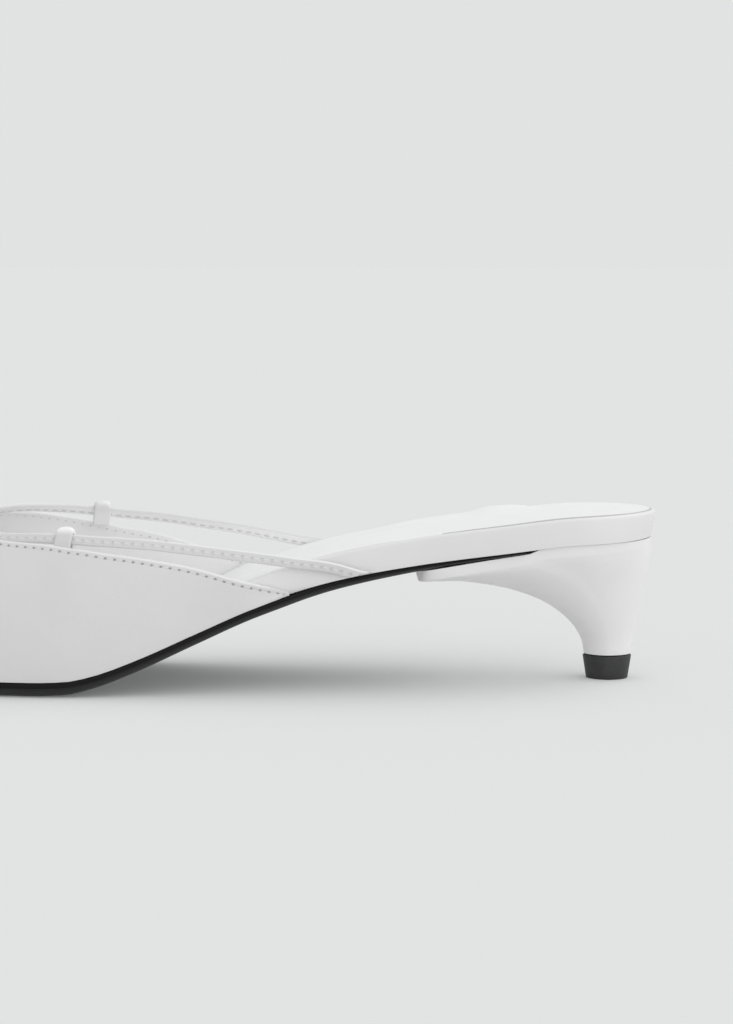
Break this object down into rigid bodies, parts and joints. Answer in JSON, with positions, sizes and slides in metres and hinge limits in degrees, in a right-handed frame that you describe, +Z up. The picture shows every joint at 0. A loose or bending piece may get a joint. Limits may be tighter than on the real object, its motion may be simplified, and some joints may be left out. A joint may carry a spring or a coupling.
{
  "type": "kitten heel shoe",
  "caption": "Pointed slide mule with a low kitten heel, an open back, a padded footbed and a narrow strap held round the throat by small keepers.",
  "frame": {"origin": "on the floor under the middle of the shoe's length and width", "axes": "+X from the toe to the heel, +Y to the inner side of the foot, +Z up"},
  "size_m": [0.27, 0.0781, 0.0523],
  "materials": {
    "footbed_leather": "smooth white leather wrapped round the board",
    "sock_lining": "white sock lining",
    "vamp_leather": "smooth white leather with a soft sheen, stitched and pierced with small holes along its edge",
    "strap_leather": "smooth white leather, folded and stitched",
    "sole_black": "black sole leather with a glossy edge",
    "heel_leather": "smooth white leather wrapped round the heel block",
    "tip_rubber": "black rubber"
  },
  "bodies": {
    "root": {"footbed": "footbed_leather", "insole_sock": "sock_lining", "vamp": "vamp_leather", "strap": "strap_leather", "keeper_lateral": "strap_leather", "keeper_medial": "strap_leather", "outsole": "sole_black", "heel": "heel_leather", "top_piece": "tip_rubber"}
  },
  "joints": []
}
